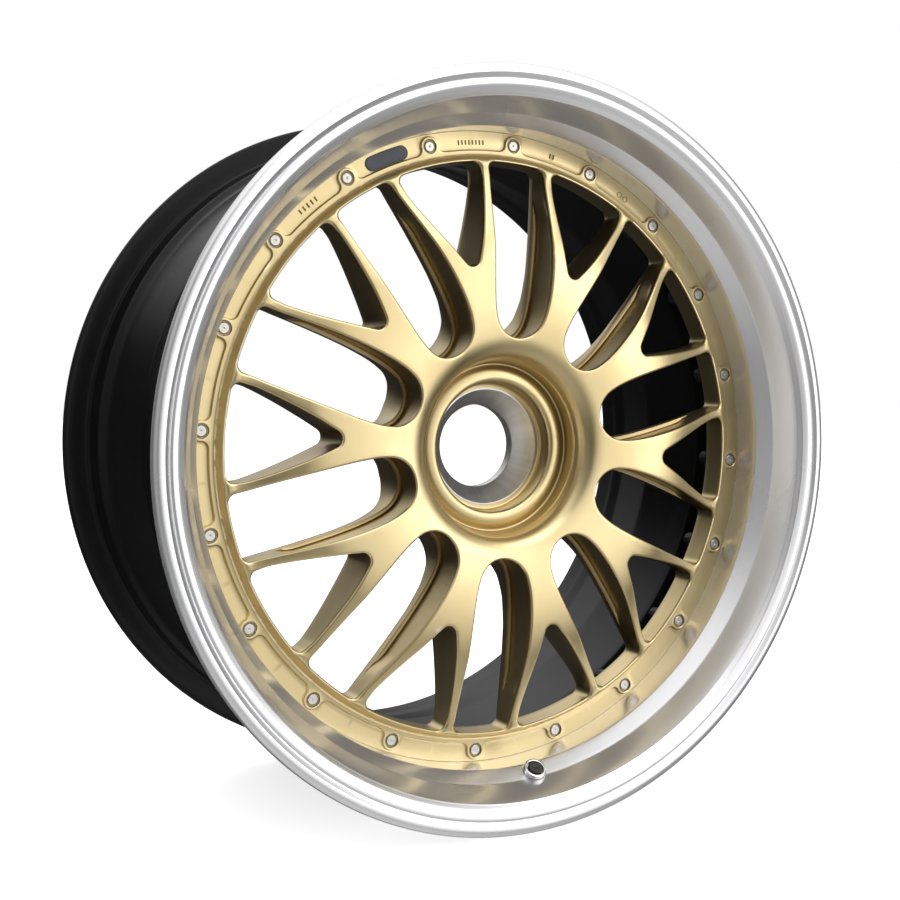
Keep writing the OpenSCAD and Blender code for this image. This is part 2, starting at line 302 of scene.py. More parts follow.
# Front of the spokes as (radius, height), from the hub's shoulder to the bolt ring
FACE = [(v.x, v.y) for v in (
    [Vector((56.6, 78.6))] + cubic((56.6, 78.6), (58, 84.6), (62, 88.2), (70, 89.6), 14)
    + [Vector((70, 89.6))] + cubic((70, 89.6), (96, 93.4), (122, 94), (140, 87.6), 24)
    + [Vector((140, 87.6))] + cubic((140, 87.6), (158, 81.4), (170, 76.4), (178, 75), 14))]
FACE += [(178, 75), (180, 74.85), (181.5, 74.6), (182.6, 74.2), (183.4, 73.5), (184, 72.6), (184.6, 71.3),
         (185.2, 69.9), (185.8, 68.8), (186.5, 68), (187.4, 67.55), (TILE_R, FACE_Z)]
REAR = [(HUB_R, PAD_Z), (68.4, PAD_Z), (69.2, 34.6), (70, 36.2), (76, 42), (86, 49.5), (100, 54), (118, 56),
        (184, 56), (186, RING_BACK_Z), (TILE_R, RING_BACK_Z)]
POCKET_DEEP = 2.9


def face_z(p):
    return table_value(FACE, p.length)


def rear_z(p):
    return table_value(REAR, p.length)


def edge_round(p):
    """Radius of the rounding on a window's front edge: larger where the arms run into the ring."""
    return lerp(1.5, 3.0, ramp(p.length, 172, 181))


def ring_corner(corner_a, side_a, corner_r):
    c = polar(WINDOW_R - corner_r, math.radians(corner_a))
    steps = [polar(WINDOW_R, math.radians(corner_a * (1 - i / 6))) for i in range(1, 7)]
    return arc(c.x, c.y, corner_r, side_a, corner_a, 8) + steps


def long_side():
    """Upper half of a long window on the +X axis, from its inner end to its outer end."""
    nose_r = LONG_HALF_W * 0.86
    nose_x = LONG_IN_R + nose_r
    nose = arc(nose_x, 0, nose_r, 180, 104, 18)
    corner = math.degrees(math.asin((LONG_HALF_W - 5) / (WINDOW_R - 5)))
    side = cubic(nose[-1], (nose_x + 8, LONG_HALF_W + 1.2), (nose_x + 42, LONG_HALF_W + 1.8),
                 (WINDOW_R - 10, LONG_HALF_W), 30)
    return resample(nose + side + ring_corner(corner, 90, 5), 1.5)


def short_side():
    nose = arc(SHORT_IN_R + 5.3, 0, 5.3, 180, 118, 8)
    side = cubic(nose[-1], (131, 11.2), (156, 23.6), (171, 28.4), 24)
    return resample(nose + side + ring_corner(7.75, 108, 5), 1.5)


def normals(points, closed):
    out = []
    for i, p in enumerate(points):
        a = points[i - 1] if (closed or i) else p
        b = points[(i + 1) % len(points)] if (closed or i < len(points) - 1) else p
        d = (b - a).normalized()
        out.append(Vector((-d.y, d.x)))
    return out


def mirrored(points):
    return [Vector((p.x, -p.y)) for p in reversed(points)]


def turned(points, a):
    m = Matrix.Rotation(a, 2)
    return [m @ p for p in points]


def half_window(side):
    """Points and outward normals of a half window; the ends' normals lie on the centre line."""
    n = normals(side, False)
    n[0], n[-1] = Vector((-1, 0)), Vector((1, 0))
    return side, n


def offset(points, norms, distance):
    return [p + n * distance(p) for p, n in zip(points, norms)]


def window_walls(shell, points, norms, deep, closed):
    """Rounded front edge, wall with a side pocket and chamfered rear edge."""
    rows = []
    for d in (1.0, 0.8, 0.6, 0.4, 0.24, 0.12, 0.04, 0.0):
        ring = []
        for p, n in zip(points, norms):
            r = edge_round(p)
            q = p + n * (d * r)
            drop = r * (1 - math.sqrt(max(0.0, 1 - (1 - d) ** 2)))
            ring.append((q.x, q.y, face_z(q) - drop))
        rows.append(ring)
    steps = ((2.2, 0), (2.6, 0.12), (3.2, 0.5), (4.2, 0.82), (5.6, 0.97), (8, 1))
    low = ((3.4, 1), (1.6, 0.95), (0.6, 0.75), (0.1, 0.4), (0, 0), (-1.2, 0))
    pocket_low = 62.0

    def pocket(p):
        return deep * (1 - ramp(p.length, 146, 165))

    for drop, share in steps:
        ring = []
        for p, n in zip(points, norms):
            q = p + n * (share * pocket(p))
            top = face_z(p) - edge_round(p)
            squeeze = min(1.0, (top - pocket_low - 2) / 14)
            ring.append((q.x, q.y, top - drop * squeeze))
        rows.append(ring)
    for rise, share in low:
        ring = []
        for p, n in zip(points, norms):
            q = p + n * (share * pocket(p))
            ring.append((q.x, q.y, pocket_low + rise))
        rows.append(ring)
    for d, rise in ((0, 0.7), (0.2, 0.2), (0.7, 0)):
        ring = []
        for p, n in zip(points, norms):
            q = p + n * d
            ring.append((q.x, q.y, min(rear_z(q) + rise, pocket_low - 2)))
        rows.append(ring)
    shell.strip(rows, closed)


def sector():
    """One tenth of the spokes: a whole short window and half of the long window on each side."""
    shell = Shell()
    half = PITCH / 2
    side, norms = half_window(long_side())
    low_side = turned(mirrored(side), half)
    low_norms = turned(mirrored(norms), half)
    high_side, high_norms = turned(side, -half), turned(norms, -half)
    short = short_side()
    loop = short[:-1] + mirrored(short)[:-1]
    loop_norms = normals(loop, True)
    window_walls(shell, high_side, high_norms, POCKET_DEEP, False)
    window_walls(shell, low_side, low_norms, POCKET_DEEP, False)
    window_walls(shell, loop, loop_norms, 0, True)

    def seam(r0, r1, a):
        n = max(1, round(abs(r1 - r0) / 1.6))
        return [polar(lerp(r0, r1, i / n), a) for i in range(1, n)]

    def ring(r, a0, a1):
        return [polar(r, lerp(a0, a1, i / SECTOR_STEPS)) for i in range(SECTOR_STEPS + 1)]

    def layer(distance, height, rings, front):
        high = offset(high_side, high_norms, distance)
        low = offset(low_side, low_norms, distance)
        outer = ring(HUB_R, -half, half)
        outer += seam(HUB_R, low[-1].length, half) + low[::-1]
        outer += seam(low[0].length, TILE_R, half) + ring(TILE_R, half, -half)
        outer += seam(TILE_R, high[-1].length, -half) + high[::-1]
        outer += seam(high[0].length, HUB_R, -half)
        hole = offset(loop, loop_norms, distance)
        grid = []
        r = HUB_R + 1.8
        while r < 183:
            n = int(r * PITCH / 2.5)
            grid += [polar(r, lerp(-half, half, (i + 0.5 * (round(r) % 2)) / n)) for i in range(n)]
            r += 2.0
        for r in rings:
            grid += [polar(r, lerp(-half, half, (i + 0.5) / SECTOR_STEPS)) for i in range(SECTOR_STEPS)]
        verts, tris = fill(outer, [hole], grid, 0.75)
        shell.add([(v.x, v.y, height(v)) for v in verts], tris if front else [t[::-1] for t in tris])

    layer(edge_round, face_z, (183.4, 184.2, 185, 185.8, 186.6, 187.4), True)
    layer(lambda p: 0.7, rear_z, (184, 186), False)
    return shell


def boss_line():
    """Pocket edge over one bolt, from the middle of one pocket to the middle of the next."""
    half = math.pi / BOLTS
    foot_y = 10.5
    foot = Vector((math.sqrt(POCKET_R**2 - foot_y**2), foot_y))
    foot_a = math.atan2(foot.y, foot.x)
    run = [polar(POCKET_R, lerp(half, foot_a, i / 8)) for i in range(9)]
    top = arc(BOLT_PITCH_R, 0, BOSS_R, 100, 0, 14)
    bend = cubic(foot, (190, 7.6), (191.8, 6.2), top[0], 8)
    line = run + bend + top
    return line + mirrored(line)[1:]


def ring_tile():
    """A twentieth of the bolt ring, centred on a bolt."""
    shell = Shell()
    half = math.pi / BOLTS
    steps = SECTOR_STEPS // 2
    line = boss_line()
    norms = normals(line, False)
    norms[0], norms[-1] = polar(1, half), polar(1, -half)
    rim_r = RING_R - 0.25
    levels = ((-0.6, 0), (-0.3, -0.07), (-0.1, -0.3), (0, -0.6), (0.22, -1.5), (0.5, -1.85), (0.95, -2))
    rows = []
    for d, z in levels:
        rows.append([(q.x, q.y, FACE_Z + z) for q in offset(line, norms, lambda p: d)])
    shell.strip(rows)
    mouth_r = INSERT_R + 0.35
    hole = [Vector((BOLT_PITCH_R, 0)) + polar(mouth_r, 2 * math.pi * i / 40) for i in range(40)]
    bore = [(mouth_r, FACE_Z), (INSERT_R, FACE_Z - 0.35), (INSERT_R, RING_BACK_Z)]
    shell.lathe(bore, 40, Matrix.Translation((BOLT_PITCH_R, 0, 0)))

    inner = offset(line, norms, lambda p: -0.6)
    base = [polar(TILE_R, lerp(-half, half, i / steps)) for i in range(steps + 1)]
    verts, tris = fill(base + inner, [hole], [], 1)
    shell.add([(v.x, v.y, FACE_Z) for v in verts], tris)
    outer = offset(line, norms, lambda p: 0.95)
    rim = [polar(rim_r, lerp(-half, half, i / steps)) for i in range(steps + 1)]
    grid = [polar(r, lerp(-half, half, (i + 0.5) / 18)) for r in (193.5, 196.5, 199.5) for i in range(18)]
    verts, tris = fill(outer[::-1] + rim[::-1], [], grid, 1.2)
    shell.add([(v.x, v.y, POCKET_Z) for v in verts], tris)
    edge = [(rim_r, POCKET_Z), (RING_R, POCKET_Z - 0.25), (RING_R, RING_BACK_Z), (TILE_R, RING_BACK_Z)]
    rows = []
    for r, z in edge:
        rows.append([(*polar(r, lerp(-half, half, i / steps)), z) for i in range(steps + 1)])
    shell.strip(rows)
    return shell


def hub_profile():
    """From behind the seat, up the recess, over the crest and its groove to the spokes."""
    floor_z = SEAT_Z - 0.3
    line = [(SEAT_R, SEAT_BACK_Z), (SEAT_R, floor_z, 1), (40, floor_z), (41, floor_z + 0.5),
            (41.6, floor_z + 2), (41.6, 64.9), (41.9, 66.4), (42.6, 67.8), (44, 68.6), (46.4, 68.7),
            (49.4, 68.2), (51.6, 67), (53.6, 66.1), (54.6, 67.2), (55.1, 70.5), (55.4, 74.2, 1), (56.1, 75.1),
            (56.4, 76.8)]
    return rounded(line) + [p for p in FACE if p[0] < HUB_R] + [(HUB_R, table_value(FACE, HUB_R))]


def wheel_centre(material):
    shell = Shell()
    part = sector()
    for k in range(SPOKES):
        shell.add(part.verts, part.faces, FIRST_A + PITCH * k)
    part = ring_tile()
    for k in range(BOLTS):
        shell.add(part.verts, part.faces, FIRST_A + PITCH / 2 * k)
    steps = SPOKES * SECTOR_STEPS
    turn = Matrix.Rotation(FIRST_A + PITCH / 2, 4, "Z")
    shell.lathe(hub_profile(), steps, turn)
    bore = [(SEAT_R, SEAT_BACK_Z), (SPIGOT_R, SEAT_BACK_Z), (SPIGOT_R, PAD_Z + 1), (SPIGOT_R + 1, PAD_Z)]
    shell.lathe(bore, steps, turn)

    # Mounting pad, in sixths, with a recess for each drive bush's flange
    sixth = math.pi / 3
    n = steps // 6
    for k in range(6):
        a = sixth * k + FIRST_A + PITCH / 2
        hub = [polar(HUB_R, a + lerp(0, sixth, i / n)) for i in range(n + 1)]
        spigot = [polar(SPIGOT_R + 1, a + lerp(sixth, 0, i / n)) for i in range(n + 1)]
        bushes = []
        for j in range(6):
            c = polar(BUSH_PITCH_R, sixth * j)
            bushes.append([c + polar(BUSH_FLANGE_R, 2 * math.pi * i / 48) for i in range(48)])
        verts, tris = fill_pad(hub + spigot, bushes)
        shell.add([(v.x, v.y, PAD_Z) for v in verts], tris)
    for j in range(6):
        c = polar(BUSH_PITCH_R, sixth * j)
        shell.lathe([(BUSH_FLANGE_R, PAD_Z), (BUSH_FLANGE_R, PAD_Z + 1.6)], 48, Matrix.Translation((*c, 0)))
    return shell.build("wheel_centre_painted", material)


def fill_pad(outer, holes):
    """Triangles of a flat outline, less any circle that crosses it."""
    points, edges = list(outer), [(i, (i + 1) % len(outer)) for i in range(len(outer))]
    for hole in holes:
        base = len(points)
        points += hole
        edges += [(base + i, base + (i + 1) % len(hole)) for i in range(len(hole))]
    verts, _, tris, _, _, _ = delaunay_2d_cdt(points, edges, [], 2, 1e-4)
    kept = []
    for t in tris:
        mid = sum((verts[i] for i in t), Vector((0, 0))) / len(t)
        if inside(outer, mid) and not any(inside(h, mid) for h in holes):
            kept.append(tuple(t))
    return verts, kept


# ---------------------------------------------------------------- rim halves

def outer_profile():
    """Closed section of the polished half; f is its front edge."""
    f = FRONT_Z
    joint_z = RING_BACK_Z - 0.1
    dish = [(RIM_IN_R, joint_z), (BARREL_R, joint_z, 1), (BARREL_R, 84.4), (202.8, 85.2), (208.6, 93.8),
            (209.2, 94.6), (216.2, f - 5.9), (216.8, f - 5.5)]
    lip = [(218.6, f - 3.1), (219.6, f - 2.6), (222, f - 1.4), (223.2, f - 1), (225.5, f - 0.9),
           (226, f - 1.9), (226.4, f - 2.1), (229, f - 0.5), (229.6, f - 0.1), (232, f), (234.9, f - 1),
           (RIM_R, f - 3.8)]
    tyre_side = [(RIM_R, f - 7), (234.8, f - 9), (222, f - 9.2), (219.8, f - 9.6), (218.4, f - 11.2),
                 (217, f - 26), (217.6, f - 28.4), (208.3, 75), (RIM_LAND_R, 62), (RIM_LAND_R, RIM_MEET_Z),
                 (RIM_IN_R, RIM_MEET_Z), (RIM_IN_R, joint_z)]
    return rounded(dish + lip + tyre_side)


def inner_profile():
    """Closed section of the black half; b is its back edge."""
    b = BACK_Z
    tyre_side = [(RIM_IN_R, RIM_MEET_Z), (RIM_LAND_R, RIM_MEET_Z), (RIM_LAND_R, 36), (203.2, 23.6),
                 (203, 22), (203, -32), (203.4, -34), (212.1, -77), (212.6, -79), (213.8, -82), (217, -86),
                 (217.8, -87.4), (218.3, -105.6), (219.4, -107.4), (221.4, -108), (234.4, -108.2)]
    lip = [(RIM_R, b + 7.4), (RIM_R, b + 4), (234.9, b + 1.2), (232, b), (214, b), (211.5, b + 0.6)]
    barrel = [(210.6, b + 2.4), (208.2, -95), (207.4, -92), (206.8, -79), (206.2, -76), (197.9, -35),
              (197.5, -32), (197.5, 24), (198, 26), (202.3, 36), (BARREL_R, 38), (BARREL_R, JOINT_BACK_Z),
              (RIM_IN_R, JOINT_BACK_Z), (RIM_IN_R, RIM_MEET_Z)]
    return rounded(tyre_side + lip + barrel)


def valve_patch(profile, half_a, steps, material):
    """The stretch of the rim round the valve, with the stem's hole and the flats on both sides cut."""
    patch, tool = Shell(), Shell()
    patch.sweep(profile, VALVE_A - half_a, VALVE_A + half_a, steps, caps=True)
    hole = [(VALVE_FLAT_R, 14), (VALVE_FLAT_R, VALVE_FLAT_Z + 0.3), (VALVE_FLAT_R - 0.3, VALVE_FLAT_Z),
            (VALVE_HOLE_R, VALVE_FLAT_Z), (VALVE_HOLE_R, VALVE_BACK_Z), (VALVE_BACK_R, VALVE_BACK_Z),
            (VALVE_BACK_R, -20)]
    tool.lathe(hole, 64, VALVE, caps=True)
    block = patch.build("valve_patch", material)
    cutter = tool.build("valve_cutter", material)
    cut = block.modifiers.new("valve_hole", "BOOLEAN")
    cut.operation, cut.object, cut.solver = "DIFFERENCE", cutter, "EXACT"
    bpy.context.view_layer.update()
    result = block.evaluated_get(bpy.context.evaluated_depsgraph_get()).to_mesh()
    to_wheel = TO_SCENE.inverted()
    verts = [to_wheel @ v.co for v in result.vertices]

    def on_end(face):
        turns = [abs(math.atan2(verts[i].y, verts[i].x) - VALVE_A) for i in face.vertices]
        return min(turns) > half_a - 1e-4

    faces = [tuple(face.vertices) for face in result.polygons if not on_end(face)]
    bpy.data.objects.remove(block)
    bpy.data.objects.remove(cutter)
    return verts, faces


# The valve's own frame: Z along the stem towards the cap, zero on the cone under the nut
VALVE = (Matrix.Rotation(VALVE_A, 4, "Z") @ Matrix.Translation((VALVE_AT[0], 0, VALVE_AT[1]))
         @ Matrix.Rotation(-VALVE_TILT, 4, "Y"))


# ---------------------------------------------------------------- materials

class Nodes:
    """A short way of writing node trees."""

    def __init__(self, tree):
        self.tree = tree

    def new(self, kind, values=(), **settings):
        node = self.tree.nodes.new(kind)
        for key, value in settings.items():
            setattr(node, key, value)
        for key, value in dict(values).items():
            if isinstance(value, bpy.types.NodeSocket):
                self.tree.links.new(value, node.inputs[key])
            else:
                node.inputs[key].default_value = value
        return node

    def math(self, kind, a, b=0.0):
        return self.new("ShaderNodeMath", {0: a, 1: b}, operation=kind).outputs[0]

    def mix(self, share, a, b):
        node = self.new("ShaderNodeMix", {0: share, 6: a, 7: b}, data_type="RGBA")
        return node.outputs[2]

    def noise(self, vector, scale, detail=2.0):
        return self.new("ShaderNodeTexNoise", {"Vector": vector, "Scale": scale, "Detail": detail}).outputs[0]

    def remap(self, value, lo, hi, to_lo, to_hi):
        node = self.new("ShaderNodeMapRange", {0: value, 1: lo, 2: hi, 3: to_lo, 4: to_hi})
        return node.outputs[0]


def rgb(r, g, b):
    return (r, g, b, 1.0)


def start_material(name):
    material = bpy.data.materials.new(name)
    material.use_nodes = True
    n = Nodes(material.node_tree)
    shader = material.node_tree.nodes["Principled BSDF"]
    place = n.new("ShaderNodeTexCoord").outputs["Object"]
    return material, n, shader, place


def bump(n, shader, height, strength, distance=0.0004, round_edges=None):
    values = {"Height": height, "Strength": strength, "Distance": distance}
    if round_edges:
        values["Normal"] = n.new("ShaderNodeBevel", {"Radius": round_edges}, samples=6).outputs[0]
    normal = n.new("ShaderNodeBump", values).outputs[0]
    n.tree.links.new(normal, shader.inputs["Normal"])


def paint(name, light, dark, rough, metallic=1.0, flake=0.02, coat=0.25, cavity_shade=0.0, reach=0.02,
          specular=0.5):
    """Metallic paint: fine flake, slight orange peel; it can take painted shade where the surface is closed
    in, with less coat there, and a painted highlight on sharp edges.
    """
    material, n, shader, place = start_material(name)
    cells = n.new("ShaderNodeTexVoronoi", {"Vector": place, "Scale": 2600.0}).outputs["Distance"]
    cloud = n.noise(place, 14.0, 3.0)
    colour = n.mix(n.remap(cloud, 0.3, 0.7, 0, 1), light, dark)
    if cavity_shade:
        # Painted shade: ambient occlusion darkens the colour towards deep brown where the surface is closed
        # in
        occlusion = n.new("ShaderNodeAmbientOcclusion", {"Distance": reach}, samples=8, only_local=True)
        closed = occlusion.outputs["AO"]
        shade = n.remap(closed, 0.25, 0.78, cavity_shade, 0)
        colour = n.mix(shade, colour, rgb(dark[0] * 0.26, dark[1] * 0.19, dark[2] * 0.1))
        # Painted highlight: sharp convex edges are lightened to pale cream
        painted_edge_highlight = n.new("ShaderNodeNewGeometry").outputs["Pointiness"]
        colour = n.mix(n.remap(painted_edge_highlight, 0.53, 0.62, 0, 0.7), colour, rgb(0.98, 0.92, 0.76))
    n.tree.links.new(colour, shader.inputs["Base Color"])
    patchy = n.remap(n.noise(place, 60.0), 0.3, 0.7, rough - 0.03, rough + 0.03)
    n.tree.links.new(patchy, shader.inputs["Roughness"])
    shader.inputs["Metallic"].default_value = metallic
    shader.inputs["Coat Weight"].default_value = coat
    if cavity_shade:
        # Painted shade: the coat thins where the surface is closed in, so that recesses reflect less
        n.tree.links.new(n.remap(closed, 0.25, 0.78, 0.02, coat), shader.inputs["Coat Weight"])
    shader.inputs["Specular IOR Level"].default_value = specular
    shader.inputs["Coat Roughness"].default_value = 0.2
    peel = n.math("MULTIPLY", n.noise(place, 320.0), 0.4)
    bump(n, shader, n.math("ADD", peel, cells), flake)
    return material


def turned_metal(name, colour, rough, groove, strength, aniso=0.0, metallic=1.0, scale=1500.0,
                 glint=0.0):
    """Metal turned on a lathe: fine grooves that run round the wheel's axis, and with glint, painted radial
    glints of lighter and darker colour.
    """
    material, n, shader, place = start_material(name)
    split = n.new("ShaderNodeSeparateXYZ", {0: place})
    x, y, z = split.outputs
    r = n.math("SQRT", n.math("ADD", n.math("MULTIPLY", x, x), n.math("MULTIPLY", z, z)))
    at = n.new("ShaderNodeCombineXYZ", {0: n.math("ADD", r, y)}).outputs[0]
    lines = n.noise(at, scale, 3.0)
    smear = n.noise(place, 9.0, 2.0)
    shade = n.remap(lines, 0, 1, 1 - groove * 1.6, 1)
    # Painted glints: radial streaks of lighter and darker colour stand in for reflections; glint also darkens
    # the dull colour
    if glint:
        angle = n.math("ARCTAN2", z, x)
        rays = n.noise(n.new("ShaderNodeCombineXYZ", {0: angle}).outputs[0], 5.0, 4.0)
        shade = n.math("MULTIPLY", shade, n.remap(rays, 0.35, 0.65, 1 - glint, 1))
    dull = rgb(*[c * (0.82 - glint * 0.4) for c in colour[:3]])
    n.tree.links.new(n.mix(shade, dull, colour), shader.inputs["Base Color"])
    n.tree.links.new(n.remap(smear, 0, 1, rough * 0.75, rough * 1.25), shader.inputs["Roughness"])
    shader.inputs["Metallic"].default_value = metallic
    if aniso:
        tangent = n.new("ShaderNodeTangent", direction_type="RADIAL", axis="Y").outputs[0]
        n.tree.links.new(tangent, shader.inputs["Tangent"])
        shader.inputs["Anisotropic"].default_value = aniso
    bump(n, shader, lines, strength, 0.0001)
    return material


def solid(name, colour, rough, metallic=0.0, grain=900.0, strength=0.1, edges=0.0003):
    """Moulded, ground or plated piece with fine grain and rounded edges."""
    material, n, shader, place = start_material(name)
    speck = n.noise(place, grain, 3.0)
    other = rgb(*[c * 0.8 + 0.004 for c in colour[:3]])
    n.tree.links.new(n.mix(n.remap(speck, 0.35, 0.65, 0, 1), colour, other), shader.inputs["Base Color"])
    patchy = n.remap(n.noise(place, 120.0), 0.3, 0.7, rough * 0.85, rough * 1.15)
    n.tree.links.new(patchy, shader.inputs["Roughness"])
    shader.inputs["Metallic"].default_value = metallic
    bump(n, shader, speck, strength, 0.0002, edges)
    return material


# The gold takes painted shade in its recesses and a painted highlight on its sharp edges
GOLD = paint("gold", rgb(0.74, 0.6, 0.325), rgb(0.68, 0.54, 0.275), 0.34, coat=0.4, cavity_shade=0.95,
             reach=0.05)
POLISHED = turned_metal("polished", rgb(0.87, 0.87, 0.88), 0.28, 0.3, 0.04, aniso=0.5, metallic=0.87)
BLACK = paint("black", rgb(0.003, 0.003, 0.0034), rgb(0.0045, 0.0045, 0.005), 0.23, 0.0, 0.02, 0.0,
              specular=0.22)
# The seat's cone takes painted radial glints
SEAT = turned_metal("seat_steel", rgb(0.8, 0.79, 0.77), 0.33, 0.4, 0.2, aniso=0.7, metallic=0.87,
                    scale=2600.0, glint=0.5)
BOLT = solid("bolt_steel", rgb(0.7, 0.68, 0.63), 0.3, 1.0)
BOLT_HEAD = solid("bolt_black_oxide", rgb(0.02, 0.02, 0.022), 0.4, 0.6)
WASHER = solid("washer_steel", rgb(0.06, 0.06, 0.06), 0.4, 0.8)
SPRING = solid("spring_steel", rgb(0.5, 0.5, 0.52), 0.3, 1.0)
INSERT = solid("insert_steel", rgb(0.38, 0.32, 0.21), 0.4, 1.0)
BUSH = solid("bush_steel", rgb(0.5, 0.51, 0.53), 0.28, 1.0)
RUBBER = solid("black_rubber", rgb(0.02, 0.02, 0.02), 0.75)
SEALANT = solid("grey_sealant", rgb(0.4, 0.4, 0.39), 0.6, grain=90.0, strength=0.6, edges=0.001)
PLATE = solid("plate_grey", rgb(0.055, 0.06, 0.07), 0.42, 0.3)
CHROME = solid("valve_plated", rgb(0.85, 0.85, 0.86), 0.14, 1.0)
BRASS = solid("core_brass", rgb(0.72, 0.52, 0.22), 0.3, 1.0)
WHITE = solid("gasket_white", rgb(0.8, 0.8, 0.78), 0.5)
CAP = solid("cap_black", rgb(0.015, 0.015, 0.016), 0.5, grain=1600.0, strength=0.4)
RED = solid("red_rubber", rgb(0.35, 0.03, 0.02), 0.6)
MARK = paint("gold_mark", rgb(0.20, 0.14, 0.06), rgb(0.17, 0.12, 0.05), 0.5)


# ---------------------------------------------------------------- pieces

def outer_rim():
    shell = Shell()
    half_a = math.radians(3.75)
    shell.sweep(outer_profile(), VALVE_A + half_a, VALVE_A + 2 * math.pi - half_a, RIM_STEPS - PATCH_STEPS)
    shell.add(*valve_patch(outer_profile(), half_a, PATCH_STEPS, POLISHED))
    show(shell.build("outer_rim_polished", POLISHED, sharp=24), "wheel", "polished_rim", "outer_rim_half")


def inner_rim():
    shell = Shell()
    shell.lathe(inner_profile(), RIM_STEPS)
    show(shell.build("inner_rim_black", BLACK, sharp=24), "wheel", "black_rim", "inner_rim_half")


def nut_seat():
    """Steel seat: a hole, a cone opening to the front and a narrow bright edge round it."""
    shell = Shell()
    hole_r, cone_back_z = 27, 42.7
    shell.lathe([
        (hole_r, SEAT_BACK_Z), (hole_r, cone_back_z), (hole_r + 0.2, cone_back_z + 0.5),
        (SEAT_R - 1.3, SEAT_Z - 0.5), (SEAT_R - 1.0, SEAT_Z), (SEAT_R - 0.2, SEAT_Z), (SEAT_R, SEAT_Z - 0.3),
        (SEAT_R, SEAT_BACK_Z), (hole_r, SEAT_BACK_Z)], 240)
    show(shell.build("nut_seat_turned", SEAT), "wheel", "seat_steel", "nut_seat")


def bolt_places():
    for k in range(BOLTS):
        a = FIRST_A + PITCH / 2 * k
        yield Matrix.Translation((*polar(BOLT_PITCH_R, a), 0)) @ Matrix.Rotation(a, 4, "Z")


def bolt_head(place):
    """Rows of a twelve-point head with a hollow in its end, from the collar to the hollow's floor."""
    end_z, points, tooth = BOLT_BACK_Z, 12, 0.045
    hollow_r = 2.7
    rows = []
    for r, z in ((5.2, WASHER_Z - 1.6), (5.2, end_z + 0.5), (4.6, end_z), (2.6, end_z), (2.3, end_z + 0.3),
                 (2.1, end_z + 2.4), (0, end_z + 2.6)):
        ring = []
        for i in range(48):
            a = 2 * math.pi * i / 48
            grow = 1 + tooth * abs(math.cos(points / 2 * a)) - tooth * (r < hollow_r)
            ring.append(place @ Vector((*polar(r * grow, a), z)))
        rows.append(ring)
    return rows


def bolt_sets():
    """Bolts with their tips in front and heads behind, washers under the heads, inserts round the tips."""
    tip_z, back = BOLT_TIP_Z, WASHER_Z
    shank_r, collar_r = 3.5, 6
    bolt = [(0, tip_z - 0.5), (0.45, tip_z - 0.3), (0.7, tip_z), (2.9, tip_z), (3.1, tip_z - 0.15),
            (shank_r, tip_z - 0.8), (shank_r, back), (collar_r - 0.2, back), (collar_r, back - 0.2),
            (collar_r, back - 1.3), (collar_r - 0.3, back - 1.6), (collar_r - 1, back - 1.7)]
    washer = [(shank_r + 0.1, back), (6.2, back), (6.4, back + 0.2), (6.4, JOINT_BACK_Z - 0.1),
              (6.3, JOINT_BACK_Z)]
    insert = [(shank_r, RING_BACK_Z), (shank_r, INSERT_Z - 0.3), (3.75, INSERT_Z), (4.3, INSERT_Z),
              (INSERT_R, INSERT_Z - 0.2), (INSERT_R, RING_BACK_Z)]
    bolts, washers, inserts = Shell(), Shell(), Shell()
    for place in bolt_places():
        bolts.lathe(bolt, 40, place)
        washers.lathe(washer, 40, place)
        inserts.lathe(insert, 40, place)
        bolts.strip(bolt_head(place), closed=True)
    plated = show(bolts.build("assembly_bolts_plated", BOLT, sharp=14),
                  "wheel", "bolt_steel", "assembly_bolts")
    # Everything behind the washers is dark
    plated.data.materials.append(BOLT_HEAD)
    for face in plated.data.polygons:
        if -face.center.y * MM < WASHER_Z + 0.1:
            face.material_index = 1
    show(washers.build("bolt_washers_steel", WASHER), "wheel", "washer_steel", "bolt_washers")
    show(inserts.build("thread_inserts_steel", INSERT), "wheel", "insert_steel", "thread_inserts")


def plate_outline(r, half_a, half_h):
    """A pill bent along the bolt circle, centred on the +X axis."""
    end = polar(r, half_a)
    a = math.degrees(half_a)
    outline = [polar(r + half_h, lerp(-half_a, half_a, i / 20)) for i in range(21)]
    outline += arc(end.x, end.y, half_h, a, a + 180, 16)[1:]
    outline += [polar(r - half_h, lerp(half_a, -half_a, i / 20)) for i in range(1, 21)]
    outline += arc(end.x, -end.y, half_h, 180 - a, 360 - a, 16)[1:-1]
    return outline


def label_plate():
    """A blank plate with round ends and a rounded edge."""
    r, half_a, half_h = BOLT_PITCH_R + 0.6, math.radians(3.1), 4.6
    shell = Shell()
    rows = []
    for shrink, up in ((0, 0), (0, 0.75), (0.1, 0.93), (0.3, 1.0), (0.55, 1.0), (0.62, 0.9)):
        rows.append([(p.x, p.y, POCKET_Z + up) for p in plate_outline(r, half_a, half_h - shrink)])
    shell.strip(rows, closed=True)
    shell.add(rows[-1], [tuple(range(len(rows[-1])))])
    turn = Matrix.Rotation(FIRST_A + 3.25 * PITCH, 4, "Z")
    shell.verts = [tuple(turn @ Vector(v)) for v in shell.verts]
    show(shell.build("label_plate_blank", PLATE), "wheel", "label_grey", "label_plate")


def valve_nut():
    """Round lock nut with a deep collar round the cap."""
    shell = Shell()
    stem_r, bore_r, nut_r = 4, 5.3, 7.2
    low, floor, top = 0.2, 1.6, 3.8
    shell.lathe([
        (stem_r, low), (nut_r - 0.2, low), (nut_r, low + 0.2), (nut_r, top - 0.7), (nut_r - 0.2, top - 0.2),
        (nut_r - 0.6, top), (bore_r + 0.4, top), (bore_r + 0.1, top - 0.1), (bore_r, top - 0.4),
        (bore_r, floor), (stem_r, floor), (stem_r, low)], 72, VALVE)
    show(shell.build("valve_nut_plated", CHROME), "wheel", "valve_metal", "valve_nut")


